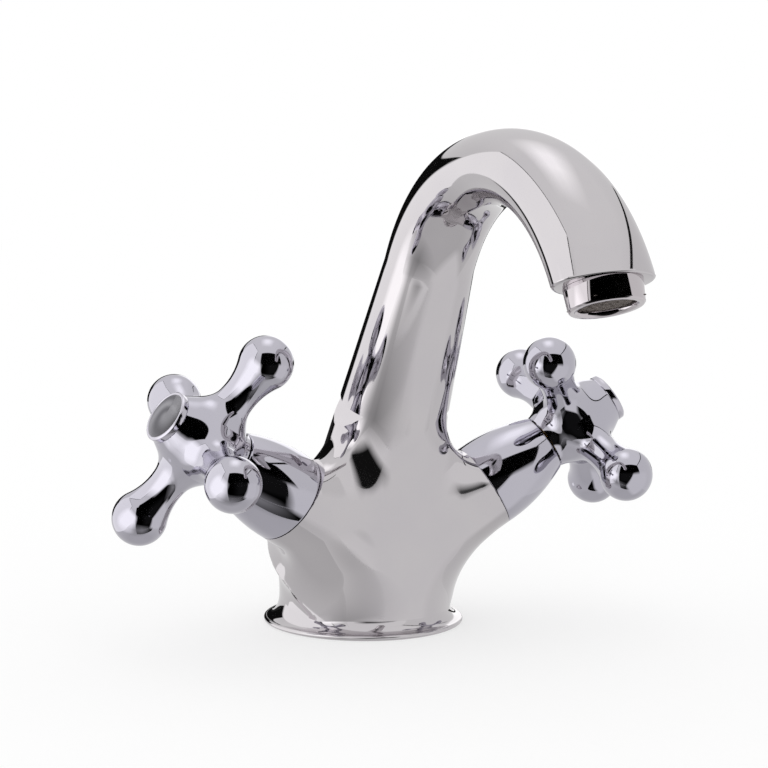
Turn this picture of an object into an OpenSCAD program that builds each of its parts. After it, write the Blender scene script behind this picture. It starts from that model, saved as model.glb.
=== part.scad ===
// Two-handle basin mixer: a one-piece cast body with an arched fixed spout,
// and two cross handles that turn quarter-turn ceramic headworks.
// Millimetres, +Z up. The origin is the centre of the foot, on the basin's deck.
// The spout points towards -Y, the handles stand on the left (-X) and right (+X).

/* [Foot and waist] */
// Diameter of the foot's rim on the deck
foot_d = 58; // [50:1:68]
// Diameter of the waist above the foot
waist_d = 49; // [42:1:56]
// Height of the flared foot, up to the waist
foot_h = 8; // [7:0.5:11]
// Depth of the hollow under the foot
pocket_h = 5; // [3:0.5:7]
// Thickness of the seal under the foot
gasket_t = 2.2; // [1.5:0.1:3]

/* [Arms] */
// Height at which the two arms' axes meet in the body
arm_z = 19.3; // [17:0.1:23]
// How far in front of the foot's centre the arms' axes meet
arm_y = 10.5; // [5:0.5:14]
// Rise of each arm above the horizontal, in degrees
arm_rise = 33.5; // [28:0.5:38]
// Sweep of each arm towards the user, in degrees
arm_sweep = 10; // [0:1:14]
// Diameter of each arm's open end
arm_d = 25.4; // [24:0.2:28]
// Distance along its axis from the meeting point to an arm's open end
arm_l = 37; // [34:0.5:42]

/* [Neck and spout] */
// Overall height, from the deck to the top of the arch
mixer_h = 141; // [125:1:160]
// Lean of the neck towards the user, in degrees from upright
neck_lean = 28; // [20:1:34]
// Half width of the neck where it leaves the body
neck_r = 16.9; // [15:0.1:19]
// Half width of the spout along the arch
spout_r = 12.7; // [11.6:0.1:14]
// Thickness of the spout in side view, as a share of its width
spout_flat = 0.77; // [0.72:0.01:0.9]
// Radius of the arch's rising part, at the centre line
rise_r = 49; // [40:1:54]
// Radius of the arch's falling part, at the centre line
fall_r = 53.5; // [50:0.5:60]
// Arc of the falling part, in degrees
fall_a = 60; // [50:1:66]
// Tilt of the outlet towards the user, in degrees
outlet_tilt = 20; // [0:1:30]
// Diameter of the waterway in the neck and the spout
water_d = 12; // [9:0.5:14]

/* [Outlet] */
// Thread diameter of the aerator
aerator_d = 16.5; // [16:0.1:18]
// Height of the aerator's collar below the spout
collar_h = 5.7; // [4:0.1:8]
// Thread length of the aerator
aerator_h = 4.6; // [4:0.2:5]

/* [Connections] */
// Thread diameter of the two inlets
inlet_d = 10; // [8:1:10]
// Distance between the two inlets
inlet_gap = 18; // [16:0.5:20]
// Thread depth of the inlets
inlet_h = 11; // [8:0.5:13]
// Thread diameter of the fixing stud
stud_d = 8; // [6:1:10]
// Thread depth for the fixing stud
stud_h = 14; // [10:0.5:16]
// How far behind the foot's centre the fixing stud stands
stud_y = 11; // [9:0.5:13]

/* [Headworks] */
// Diameter of the headworks' thread in the arm
valve_d = 20.2; // [19.5:0.1:20.6]
// Depth of the headworks in the arm
valve_h = 13.5; // [12.5:0.5:15]
// Width across the flats of the headworks' hexagon
hex_w = 18; // [16:0.5:18.5]
// Diameter of the headworks' neck
valve_neck_d = 14; // [12.6:0.2:14.4]
// Diameter of the spindle
spindle_d = 8; // [7:0.1:8.4]
// Diameter of the ceramic discs
disc_d = 15; // [13:0.1:15.2]
// Thickness of each ceramic disc
disc_t = 3; // [2.5:0.1:3.2]
// Length of each bonnet, along the arm's axis
bonnet_l = 21.8; // [20:0.2:24]
// Diameter of each bonnet's outer end
bonnet_end_d = 17; // [16.4:0.2:19]
// How far each bonnet bulges outside a plain cone
bonnet_bulge = 1.3; // [0.5:0.1:2]
// Wall of each bonnet
bonnet_wall = 1.5; // [1.2:0.1:1.8]

/* [Cross handles] */
// Radius from a handle's axis to the centre of each ball
ball_reach = 27; // [24:0.5:30]
// Diameter of each ball
ball_d = 15; // [13:0.5:17]
// Diameter of an arm's narrowest part
club_neck_d = 9.9; // [8.5:0.1:11]
// Distance from a handle's axis to that narrowest part
club_neck_at = 16; // [14:0.5:18]
// Greatest diameter of a handle's hub
hub_d = 23.4; // [21:0.2:26]
// Height of a handle's hub
hub_h = 21.8; // [20:0.2:24]
// Height of the four arms above the hub's foot
cross_z = 10; // [9:0.5:12]
// Diameter of the index cap
cap_d = 14.6; // [13:0.2:16]
// Thickness of the index cap's rim
cap_t = 2; // [1.5:0.1:2.5]
// Turn of the left handle when it is shut, in degrees
left_turn = 21; // [0:1:89]
// Turn of the right handle when it is shut, in degrees
right_turn = 33; // [0:1:89]

/* [Fits] */
// Radial clearance of a thread or a seat that doesn't turn
seat_gap = 0.05; // [0.03:0.01:0.1]
// Radial clearance of the turning spindle
turn_gap = 0.06; // [0.03:0.01:0.1]
// Gap between each bonnet and the handle or the arm beside it
bonnet_gap = 0.5; // [0.3:0.05:0.8]

/* [Hidden] */
$fn = 64;
// Overlap that keeps two joined or cut shapes from sharing a face
eps = 0.02;
// How much less the radius of each length of the spout is than that of the length
// before it, so that they never share a face, and the angle by which they overlap
step = 0.08;
overlap_a = 0.3;
// How far a shape starts inside the one that it runs on from
tuck = 0.1;
// How much wider the round end of a bore is than the bore
ball_over = 0.4;
left = -1;
right = 1;

chrome = [0.80, 0.80, 0.82];
warm_chrome = [0.74, 0.73, 0.73];
brass = [0.80, 0.64, 0.32];
rubber = [0.12, 0.12, 0.13];
ceramic = [0.93, 0.92, 0.88];
plastic = [0.86, 0.87, 0.88];
steel = [0.62, 0.63, 0.65];

// Seats along an arm's axis, outwards from where the arms meet
seat_s = arm_l - valve_h;
seal_t = 2;
lower_disc_s = seat_s + seal_t;
upper_disc_s = lower_disc_s + disc_t;
drive_s = upper_disc_s + disc_t;
drive_t = 2;
// The room between the discs and the thread is shared out: the discs' play, the
// skirt's wall, and the skirt's play in the arm, which is a little wider
disc_play = 0.3;
skirt_wall = (valve_d / 2 - disc_d / 2 - disc_play) / 2.3;
skirt_r = disc_d / 2 + disc_play + skirt_wall;
thread_s = drive_s + drive_t + 0.4;
flange_t = 1;
hex_s = arm_l + flange_t;
hex_h = 5;
valve_neck_s = hex_s + hex_h;
bonnet_s = arm_l + 0.15;
bonnet_end_s = bonnet_s + bonnet_l;
valve_top_s = bonnet_end_s - 1.6;
clip_t = 0.8;
clip_s = valve_top_s + 0.05;
hub_s = bonnet_end_s + bonnet_gap;
hub_recess_h = 3;
socket_s = hub_s + hub_recess_h;
spline_h = 8;
hub_end_s = hub_s + hub_h;
// Where a handle's arms start inside its hub
club_root_at = 8.2;
cap_seat_h = 2;
cap_seat_d = cap_d - 2.4;
screw_d = 4;
screw_head_d = 7.4;
screw_head_h = 2.6;
screw_seat_s = socket_s + spline_h + 2.5;
screw_reach = 7;
gland_s = valve_neck_s + 3;
gland_d = spindle_d + 3.2;
gland_h = 2.4;
oring_r = 0.8;

// The spout's centre line lies in the plane X = 0: a leaning neck, then two arcs
spout_t = spout_r * spout_flat;
crown_z = mixer_h - spout_t;
neck_dir = [0, -sin(neck_lean), cos(neck_lean)];
neck_out = [0, -cos(neck_lean), -sin(neck_lean)];
neck_foot_z = 56.8;
neck_foot_y = -arm_y - 5;
neck_foot = [0, neck_foot_y, neck_foot_z];
neck_top_z = crown_z - rise_r + rise_r * sin(neck_lean);
neck_l = (neck_top_z - neck_foot_z) / cos(neck_lean);
crown_y = neck_foot_y + neck_l * neck_dir.y - rise_r * cos(neck_lean);
nose_y = crown_y - fall_r * sin(fall_a);
nose_z = crown_z - fall_r + fall_r * cos(fall_a);
nose = [0, nose_y, nose_z];
// How far the outlet's axis stands behind the spout's centre line
outlet_back = 0.4;
washer_t = 1.6;

// Depth of the mixing chamber below the foot of the neck's axis
chamber_depth = 26;

// The foot's rounded rim, and the outer edge of the groove for its seal
rim_r = 0.7;
rim_z = 0.8;
groove_r = waist_d / 2;
groove_w = 4;

// Where the blended skin of the body stops: in the foot's flare, and across the neck
skin_low_z = rim_z + rim_r + 0.4;
skin_neck_u = 7;
skin_centre = [0, -9, 26];
skin_reach = arm_l + arm_d / 2 - 2.7;
skin_sides = 72;
skin_rows = 44;
arm_blend = 12;
// Length over which the neck's fillet runs out before an arm's end
fillet_run = 15;
fillet_front = 0.9;
fillet_least = 0.3;
// How far the flat face at an arm's end reaches around the arm
arm_face = 7;
neck_blend = 20;
waist_top_z = 19.3;
neck_root_u = 34;

// Unit vector of the right arm's axis
arm_dir = [
    cos(arm_rise) * cos(arm_sweep),
    -cos(arm_rise) * sin(arm_sweep),
    sin(arm_rise)
];
arm_foot = [0, -arm_y, arm_z];

// Puts its children on an arm's axis: +Z runs outwards along the arm
module on_arm(side, s = 0) {
    mirror([side < 0 ? 1 : 0, 0, 0])
        translate(arm_foot)
            rotate([0, 90 - arm_rise, -arm_sweep])
                translate([0, 0, s])
                    children();
}

// Puts its children on the outlet's axis: +Z runs up into the spout
module on_outlet(h = 0) {
    translate(nose)
        rotate([-outlet_tilt, 0, 0])
            translate([0, outlet_back, h])
                children();
}

// A plain ring, standing on its lower face
module ring(r_out, r_in, h) {
    rotate_extrude()
        translate([r_in, 0])
            square([r_out - r_in, h]);
}

// A round bore between two points
module bore(from, to, d) {
    v = to - from;
    turn = atan2(v.y, v.x);
    tilt = acos(v.z / norm(v));
    translate(from)
        rotate([0, tilt, turn])
            cylinder(h = norm(v), d = d);
}

// A point on the right arm's axis, raised across it by up
function arm_point(side, s, up = 0) =
    let (
        across = [
            -sin(arm_rise) * cos(arm_sweep),
            sin(arm_rise) * sin(arm_sweep),
            cos(arm_rise)
        ],
        p = arm_foot + s * arm_dir + up * across
    )
    [side * p.x, p.y, p.z];

// Half width of the neck at a distance u along its axis
function neck_width(u) = neck_r + (spout_r - neck_r) * u / neck_l;

// The body's skin joins three plain forms. Each function below gives a
// distance that is negative inside its form, and blend() rounds the corner
// between two of them with a fillet of about the given width.
function blend(a, b, k) =
    let (h = max(k - abs(a - b), 0) / k)
    min(a, b) - h * h * k / 4;

function waist_form(p) =
    norm([p.x, p.y, max(p.z - waist_top_z, 0)]) - waist_d / 2;

function arm_form(p) =
    let (
        v = [abs(p.x), p.y, p.z] - arm_foot,
        s = max(v * arm_dir, 0)
    )
    norm(v - s * arm_dir) - arm_d / 2;

function neck_form(p) =
    let (
        v = p - neck_foot,
        u = v * neck_dir,
        half_w = neck_width(u),
        half_t = half_w * spout_flat
    )
    max((norm([p.x / half_w, (v * neck_out) / half_t]) - 1) * half_t, -u - neck_root_u);

// The neck's fillet runs out towards the arms' ends, which stay round, and is
// fuller in front of the arms than behind them
function skin_form(p) =
    let (
        v = [abs(p.x), p.y, p.z] - arm_foot,
        left_over = arm_l - v * arm_dir + fillet_front * max(-v.y, 0),
        fade = min(max(left_over / fillet_run, fillet_least), 1)
    )
    blend(blend(waist_form(p), arm_form(p), arm_blend), neck_form(p), neck_blend * fade);

// Halves the stretch of a ray in which it leaves the skin
function skin_cross(dir, near, far, steps) =
    let (mid = (near + far) / 2)
    steps == 0 ? mid
    : skin_form(skin_centre + mid * dir) < 0 ? skin_cross(dir, mid, far, steps - 1)
    : skin_cross(dir, near, mid, steps - 1);

function skin_point(row, side) =
    let (
        fall = 180 * row / skin_rows,
        turn = 360 * side / skin_sides,
        dir = [sin(fall) * cos(turn), sin(fall) * sin(turn), cos(fall)]
    )
    skin_centre + skin_cross(dir, 3, skin_reach, 16) * dir;

// The blended skin, found along rays from a point inside the body
module skin() {
    points = concat(
        [skin_point(0, 0)],
        [for (row = [1:skin_rows - 1], side = [0:skin_sides - 1]) skin_point(row, side)],
        [skin_point(skin_rows, 0)]
    );
    last = len(points) - 1;
    start = last - skin_sides;
    faces = concat(
        [for (i = [0:skin_sides - 1]) [0, 1 + (i + 1) % skin_sides, 1 + i]],
        [
            for (row = [0:skin_rows - 3], i = [0:skin_sides - 1])
                let (
                    a = 1 + row * skin_sides + i,
                    b = 1 + row * skin_sides + (i + 1) % skin_sides
                )
                each [[a, b, a + skin_sides], [b, b + skin_sides, a + skin_sides]]
        ],
        [for (i = [0:skin_sides - 1]) [start + i, start + (i + 1) % skin_sides, last]]
    );
    polyhedron(points = points, faces = faces, convexity = 6);
}

// The blended shoulders, cut flat at the foot, at the arms and across the neck
module shoulders() {
    reach = 2 * skin_reach;
    difference() {
        skin();
        translate([-reach / 2, -reach / 2, skin_low_z - reach])
            cube(reach);
        for (side = [left, right])
            on_arm(side, arm_l)
                cylinder(h = reach, r = arm_d / 2 + arm_face);
        translate(neck_foot)
            rotate([neck_lean, 0, 0])
                translate([-reach / 2, -reach / 2, skin_neck_u])
                    cube(reach);
    }
}

// The flared foot: a round rim, a hollow flare and the waist
module foot() {
    flare_r = foot_h - rim_z - 1;
    rotate_extrude($fn = 96)
        polygon(concat(
            [[0, 0], [foot_d / 2 - rim_r, 0]],
            [
                for (a = [-60:20:80])
                    [foot_d / 2 - rim_r + rim_r * cos(a), rim_z + rim_r * sin(a)]
            ],
            [
                for (a = [-90:-15:-165])
                    let (flare_w = foot_d / 2 - rim_r - waist_d / 2)
                    [
                        waist_d / 2 + flare_w + flare_w * cos(a),
                        rim_z + rim_r + flare_r + flare_r * sin(a)
                    ]
            ],
            [
                [waist_d / 2, rim_z + rim_r + flare_r],
                [waist_d / 2 - tuck, foot_h + 1],
                [0, foot_h + 1]
            ]
        ));
}

// The tapered neck and the two arcs of the spout, cut square to the outlet
module neck_and_arch() {
    start = skin_neck_u - 1;
    root_r = neck_width(skin_neck_u) - tuck;
    spare_a = 16;
    translate(neck_foot)
        rotate([neck_lean, 0, 0])
            translate([0, 0, start])
                scale([1, spout_flat, 1])
                    cylinder(h = neck_l - start, r1 = root_r, r2 = spout_r + step);
    arch(rise_r, 90 - neck_lean + overlap_a, 0, spout_r, spout_flat);
    difference() {
        arch(fall_r, overlap_a, -fall_a - spare_a, spout_r - step, spout_flat);
        on_outlet(-fall_r)
            translate([-fall_r / 2, -fall_r / 2, 0])
                cube(fall_r);
    }
}

// An arc of the spout below the crown, between two angles from the crown
module arch(radius, from, to, half_w, flat) {
    translate([0, crown_y, crown_z - radius])
        rotate([90, 0, 90])
            rotate([0, 0, 90 - from])
                rotate_extrude(angle = from - to, $fn = 144)
                    translate([radius, 0])
                        scale([flat, 1])
                            circle(r = half_w);
}

// The casting: foot, shoulders, neck and spout, with its bores and waterways
module body() {
    color(warm_chrome)
    difference() {
        union() {
            foot();
            shoulders();
            neck_and_arch();
        }
        foot_hollows();
        for (side = [left, right])
            arm_hollows(side);
        waterway();
        on_outlet(-eps)
            cylinder(h = aerator_h + washer_t + eps, d = aerator_d + 2 * seat_gap);
    }
}

// The hollow under the foot, the seal's groove, the inlets and the stud hole
module foot_hollows() {
    translate([0, 0, -eps])
        cylinder(h = pocket_h + eps, r = groove_r - groove_w - 1);
    translate([0, 0, -eps])
        ring(groove_r, groove_r - groove_w, gasket_t + eps);
    for (side = [left, right])
        translate([side * inlet_gap / 2, 0, pocket_h - eps])
            cylinder(h = inlet_h, d = inlet_d - 1);
    translate([0, stud_y, pocket_h - eps])
        cylinder(h = stud_h, d = stud_d - 1.2);
}

// The socket for the headworks in one arm, with its inlet and outlet ports
module arm_hollows(side) {
    port_d = 7;
    outlet_port_d = 6;
    // Where the two waters meet, below the foot of the neck's axis
    meeting_depth = 17;
    port_foot = [side * inlet_gap / 2, 0, pocket_h + inlet_h + 3 * tuck];
    on_arm(side, seat_s)
        cylinder(h = valve_h + 1, d = valve_d + 2 * seat_gap);
    turn_in = arm_point(side, seat_s - 10);
    bore(port_foot, turn_in, port_d);
    bore(turn_in, arm_point(side, seat_s + eps), port_d);
    translate(turn_in)
        sphere(d = port_d + ball_over);
    bore(arm_point(side, seat_s + 3, 6), neck_foot - meeting_depth * neck_dir, outlet_port_d);
}

// The mixing chamber and the waterway through the neck and the arch
module waterway() {
    r = water_d / 2;
    translate(neck_foot)
        rotate([neck_lean, 0, 0])
            translate([0, 0, -chamber_depth])
                cylinder(h = neck_l + chamber_depth, r = r);
    arch(rise_r, 90 - neck_lean + overlap_a, 0, r - step, 1);
    arch(fall_r, overlap_a, 4 - fall_a, r - 2 * step, 1);
}

// The flat seal in the groove under the foot
module base_gasket() {
    color(rubber)
        ring(groove_r - seat_gap, groove_r - groove_w + seat_gap, gasket_t);
}

// The aerator's chromed housing: thread above, tapered collar below
module aerator_housing() {
    collar_r = aerator_d / 2 + 1.1;
    inner_r = aerator_d / 2 - 1.2;
    color(chrome)
    on_outlet()
        rotate_extrude()
            polygon([
                [inner_r, aerator_h],
                [aerator_d / 2, aerator_h],
                [aerator_d / 2, 0],
                [collar_r, 0],
                [collar_r - 0.3, -collar_h + 0.8],
                [collar_r - 0.9, -collar_h],
                [inner_r + 0.5, -collar_h],
                [inner_r - 0.5, -collar_h + 0.9],
                [inner_r - 0.5, -collar_h + 1.5],
                [inner_r, -collar_h + 1.5]
            ]);
}

// The aerator's insert: a tube, a pierced plate above and a grille below
module aerator_insert() {
    r = aerator_d / 2 - 1.2 - seat_gap;
    low = -collar_h + 1.5;
    h = aerator_h - low;
    plate_t = 1.2;
    wall = 0.9;
    color(plastic)
    on_outlet(low)
        union() {
            difference() {
                cylinder(h = h, r = r);
                translate([0, 0, -eps])
                    cylinder(h = h - plate_t, r = r - wall);
                for (ring_r = [2.2, 4.6], i = [0:11])
                    rotate([0, 0, 30 * i])
                        translate([ring_r, 0, h - plate_t - 0.5])
                            cylinder(h = plate_t + 1, d = 0.9, $fn = 16);
            }
            for (ring_r = [1.6, 3.4, 5.2])
                ring(ring_r + 0.25, ring_r - 0.25, plate_t);
            for (i = [0:5])
                rotate([0, 0, 60 * i])
                    translate([0, -0.25, 0])
                        cube([r - wall / 2, 0.5, plate_t]);
        }
}

// The flat washer between the aerator and the bottom of its socket
module aerator_washer() {
    color(rubber)
    on_outlet(aerator_h)
        ring(aerator_d / 2 - 0.1, aerator_d / 2 - 2.6, washer_t);
}

// Outline of a bonnet: a shallow arc from the arm's end to the handle
function bonnet_outline(inset, from, to, steps) =
    let (
        big = arm_d / 2 - inset,
        small = bonnet_end_d / 2 - inset
    )
    [
        for (i = [0:steps])
            let (
                z = from + (to - from) * i / steps,
                t = z / bonnet_l
            )
            [big + (small - big) * t + 4 * bonnet_bulge * t * (1 - t), z]
    ];

// The bell-shaped bonnet over a headwork, screwed on the headwork's neck
module bonnet(side) {
    mouth_h = 5;
    outer = bonnet_outline(0, 0, bonnet_l - 0.5, 16);
    inner = bonnet_outline(bonnet_wall, -eps, bonnet_l - mouth_h, 12);
    color(chrome)
    on_arm(side, bonnet_s)
        difference() {
            rotate_extrude()
                polygon(concat(
                    [[0, 0]],
                    outer,
                    [[bonnet_end_d / 2 - 0.5, bonnet_l], [0, bonnet_l]]
                ));
            rotate_extrude()
                polygon(concat([[0, -eps]], inner, [[0, bonnet_l - mouth_h]]));
            cylinder(h = bonnet_l + 1, d = valve_neck_d + 2 * seat_gap);
        }
}

// The brass body of a headwork: pierced skirt, thread, hexagon and neck
module valve_body(side) {
    stem_r = spindle_d / 2 + turn_gap;
    cavity_r = disc_d / 2 + disc_play;
    window_w = 7;
    color(brass)
    on_arm(side)
        difference() {
            union() {
                translate([0, 0, seat_s + 0.3])
                    cylinder(h = thread_s - seat_s, r = skirt_r);
                translate([0, 0, thread_s])
                    cylinder(h = arm_l - thread_s + eps, d = valve_d);
                translate([0, 0, arm_l])
                    cylinder(h = flange_t + eps, d = hex_w + 1);
                translate([0, 0, hex_s])
                    cylinder(h = hex_h, d = hex_w / cos(30), $fn = 6);
                translate([0, 0, valve_neck_s - eps])
                    cylinder(h = valve_top_s - valve_neck_s + eps, d = valve_neck_d);
            }
            translate([0, 0, seat_s])
                cylinder(h = drive_s + drive_t + 0.3 - seat_s, r = cavity_r);
            cylinder(h = valve_top_s + 1, r = stem_r);
            translate([0, 0, gland_s])
                cylinder(h = gland_h, d = gland_d + 2 * turn_gap);
            for (turn = [0, 180])
                rotate([0, 0, turn])
                    translate([skirt_r - 3, -window_w / 2, upper_disc_s + 0.4])
                        cube([4, window_w, disc_t]);
            translate([0, 0, arm_l - 1.6])
                ring(valve_d, valve_d / 2 - 1.1, 1.6);
        }
}

// The O-ring in the groove behind a headwork's flange
module valve_oring(side) {
    color(rubber)
    on_arm(side, arm_l - 0.8)
        rotate_extrude()
            translate([valve_d / 2 - 0.5, 0])
                circle(r = 0.52, $fn = 24);
}

// The rubber seal between a headwork and the seat in the arm
module seat_seal(side) {
    color(rubber)
    on_arm(side, seat_s)
        ring(disc_d / 2, 4.4, seal_t);
}

// A ceramic disc with two sector-shaped windows
module ceramic_disc(turn) {
    color(ceramic)
        difference() {
            cylinder(h = disc_t, d = disc_d);
            for (side_turn = [0, 180])
                rotate([0, 0, turn + side_turn - 45])
                    translate([0, 0, -1])
                        rotate_extrude(angle = 80)
                            translate([1.6, 0])
                                square([disc_d / 2 - 3.6, disc_t + 2]);
        }
}

// The lower disc, which stands still
module fixed_disc(side) {
    on_arm(side, lower_disc_s)
        ceramic_disc(0);
}

// The upper disc, which the spindle turns
module moving_disc(side) {
    on_arm(side, upper_disc_s)
        ceramic_disc(90);
}

// The spindle: driver, stem, clip groove, spline end and the handle screw's thread
module spindle(side) {
    tip_s = socket_s + spline_h;
    color(brass)
    on_arm(side)
        difference() {
            union() {
                translate([0, 0, drive_s])
                    cylinder(h = drive_t, d = disc_d);
                translate([0, 0, drive_s])
                    cylinder(h = tip_s - drive_s - 0.4, d = spindle_d);
                translate([0, 0, tip_s - 0.4 - eps])
                    cylinder(h = 0.4, d1 = spindle_d, d2 = spindle_d - 0.6);
            }
            translate([0, 0, clip_s - 0.05])
                ring(spindle_d, spindle_d / 2 - 0.6, clip_t + 0.1);
            translate([0, 0, tip_s - screw_reach - 1])
                cylinder(h = screw_reach + 2, d = screw_d + 2 * seat_gap);
        }
}

// The O-ring on a spindle
module spindle_oring(side) {
    color(rubber)
    on_arm(side, gland_s + gland_h / 2)
        rotate_extrude()
            translate([gland_d / 2 - oring_r, 0])
                circle(r = oring_r, $fn = 24);
}

// The open clip that keeps a spindle in its headwork
module spindle_clip(side) {
    color(steel)
    on_arm(side, clip_s)
        difference() {
            cylinder(h = clip_t, r = spindle_d / 2 + 1.6);
            translate([0, 0, -1])
                cylinder(h = clip_t + 2, r = spindle_d / 2 - 0.55);
            translate([0, -1.7, -1])
                cube([10, 3.4, clip_t + 2]);
        }
}

// Outline of a club: a flared root in the hub, a hollow neck and a ball
function club_outline() =
    let (
        ball_r = ball_d / 2,
        neck_half = club_neck_d / 2,
        run = ball_reach - club_neck_at,
        // Radius of the hollow that is tangent to the ball
        hollow_r = (run * run + neck_half * neck_half - ball_r * ball_r)
            / (2 * (ball_r - neck_half)),
        hollow_x = neck_half + hollow_r,
        meet = atan2(run, hollow_x),
        root = asin((club_neck_at - club_root_at) / hollow_r)
    )
    concat(
        [[0, club_root_at]],
        [
            for (i = [0:10])
                let (a = -root + (root + meet) * i / 10)
                [hollow_x - hollow_r * cos(a), club_neck_at + hollow_r * sin(a)]
        ],
        [
            for (i = [1:11])
                let (a = (90 + meet) * (1 - i / 12))
                [ball_r * sin(a), ball_reach + ball_r * cos(a)]
        ],
        [[0, ball_reach + ball_r]]
    );

// One arm of a handle, pointing along -Y
module club() {
    rotate([90, 0, 0])
        rotate_extrude($fn = 48)
            polygon(club_outline());
}

// Outline of the hub: flared foot, full belly and a dome up to the cap.
// No corner lies at the height of the arms' axes, where it would meet their sides
function hub_outline() = [
    [bonnet_end_d / 2 - 0.4, 0],
    [bonnet_end_d / 2, 0.4],
    [bonnet_end_d / 2 + 0.3, 2.2],
    [hub_d / 2 - 1.6, 4.6],
    [hub_d / 2 - 0.5, cross_z - 3],
    [hub_d / 2 - 0.05, cross_z - 1],
    [hub_d / 2, cross_z + 0.8],
    [hub_d / 2 - 0.5, cross_z + 3],
    [hub_d / 2 - 1.8, cross_z + 6],
    [cap_d / 2 + 1.2, hub_h - 2.4],
    [cap_d / 2 - 0.1, hub_h]
];

// The cross handle: four clubs on a domed hub, with its bores
module cross(side) {
    turn = side < 0 ? left_turn : right_turn;
    color(chrome)
    on_arm(side, hub_s)
        difference() {
            union() {
                rotate_extrude($fn = 96)
                    polygon(concat([[0, 0]], hub_outline(), [[0, hub_h]]));
                for (quarter = [0:90:270])
                    rotate([0, 0, turn + quarter])
                        translate([0, 0, cross_z])
                            club();
            }
            translate([0, 0, -1])
                cylinder(h = hub_recess_h + 1, d = valve_neck_d);
            cylinder(h = hub_recess_h + spline_h, d = spindle_d + 2 * seat_gap);
            cylinder(h = hub_h + 1, d = screw_d + 0.6);
            translate([0, 0, screw_seat_s - hub_s])
                cylinder(h = hub_h, d = screw_head_d + 0.6);
            translate([0, 0, hub_h - cap_seat_h])
                cylinder(h = cap_seat_h + 1, d = cap_seat_d + 2 * seat_gap);
        }
}

// The screw that holds a handle on its spindle
module handle_screw(side) {
    tip_s = socket_s + spline_h;
    shank_s = tip_s - screw_reach;
    color(steel)
    on_arm(side)
        difference() {
            union() {
                translate([0, 0, shank_s])
                    cylinder(h = screw_seat_s - shank_s + eps, d = screw_d);
                translate([0, 0, screw_seat_s])
                    cylinder(h = screw_head_h, d = screw_head_d);
            }
            translate([0, 0, screw_seat_s + screw_head_h - 1.4])
                for (quarter = [0, 90])
                    rotate([0, 0, quarter])
                        translate([-2.4, -0.5, 0])
                            cube([4.8, 1, 2]);
        }
}

// The index cap that closes the hub: a flat disc on a spigot
module index_cap(side) {
    color(chrome)
    on_arm(side, hub_end_s)
        union() {
            rotate_extrude($fn = 96)
                polygon([
                    [0, 0],
                    [cap_d / 2 - 0.2, 0],
                    [cap_d / 2, 0.3],
                    [cap_d / 2, cap_t - 0.4],
                    [cap_d / 2 - 0.4, cap_t],
                    [cap_d / 2 - 0.7, cap_t],
                    [cap_d / 2 - 0.9, cap_t - 0.25],
                    [0, cap_t - 0.25]
                ]);
            translate([0, 0, 0.3 - cap_seat_h])
                cylinder(h = cap_seat_h, d = cap_seat_d);
        }
}

body();
base_gasket();
aerator_housing();
aerator_insert();
aerator_washer();
bonnet(left);  // left_bonnet
valve_body(left);  // left_valve_body
valve_oring(left);  // left_valve_oring
seat_seal(left);  // left_seat_seal
fixed_disc(left);  // left_fixed_disc
moving_disc(left);  // left_moving_disc
spindle(left);  // left_spindle
spindle_oring(left);  // left_spindle_oring
spindle_clip(left);  // left_spindle_clip
cross(left);  // left_cross
handle_screw(left);  // left_handle_screw
index_cap(left);  // left_index_cap
bonnet(right);  // right_bonnet
valve_body(right);  // right_valve_body
valve_oring(right);  // right_valve_oring
seat_seal(right);  // right_seat_seal
fixed_disc(right);  // right_fixed_disc
moving_disc(right);  // right_moving_disc
spindle(right);  // right_spindle
spindle_oring(right);  // right_spindle_oring
spindle_clip(right);  // right_spindle_clip
cross(right);  // right_cross
handle_screw(right);  // right_handle_screw
index_cap(right);  // right_index_cap
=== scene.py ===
# %% [markdown]
# # A two-handle basin mixer in Blender
#
# The engineering model already exists: twenty-nine closed solids in metres,
# with the deck at Z = 0, the spout towards -Y and a cross handle on each side.
# This file gives that model its looks. The parts that show, such as the casting,
# the handles, the bonnets and the outlet, are modelled again with finer forms,
# and the parts inside keep their engineering shapes and get better finishes.
# %% Open the engineering model
import math

import bpy
import numpy as np
from mathutils import Matrix, Vector


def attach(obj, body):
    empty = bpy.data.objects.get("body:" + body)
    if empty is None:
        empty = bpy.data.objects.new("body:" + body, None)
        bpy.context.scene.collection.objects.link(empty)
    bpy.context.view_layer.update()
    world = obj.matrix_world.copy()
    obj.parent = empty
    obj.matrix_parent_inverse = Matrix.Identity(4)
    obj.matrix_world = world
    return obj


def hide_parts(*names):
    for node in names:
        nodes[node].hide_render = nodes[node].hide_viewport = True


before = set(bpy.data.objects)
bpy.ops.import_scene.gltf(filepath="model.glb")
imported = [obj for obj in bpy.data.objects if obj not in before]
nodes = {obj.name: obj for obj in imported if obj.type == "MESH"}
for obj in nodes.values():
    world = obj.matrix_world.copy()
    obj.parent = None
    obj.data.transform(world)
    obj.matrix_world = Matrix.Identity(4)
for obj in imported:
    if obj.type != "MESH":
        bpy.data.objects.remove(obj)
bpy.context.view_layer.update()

# %% [markdown]
# ## The camera
#
# The photograph was taken with a long lens, a little to the left of the mixer
# and slightly above it. A camera that is found by fitting the foot, the handles
# and the outlet to the photograph is written down as three angles, a place and
# a focal length, so that anybody can read what it does.
# %% Camera
camera_turn = math.radians(-25)
camera_rise = math.radians(5.896)
camera_roll = math.radians(0.5)
camera_place = (-0.23583, -0.51869, 0.12783)
toward_camera = Vector((
    math.sin(camera_turn) * math.cos(camera_rise),
    -math.cos(camera_turn) * math.cos(camera_rise),
    math.sin(camera_rise),
))
level_right = Vector((math.cos(camera_turn), math.sin(camera_turn), 0))
level_up = toward_camera.cross(level_right)
picture_right = math.cos(camera_roll) * level_right + math.sin(camera_roll) * level_up
picture_up = toward_camera.cross(picture_right)

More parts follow.
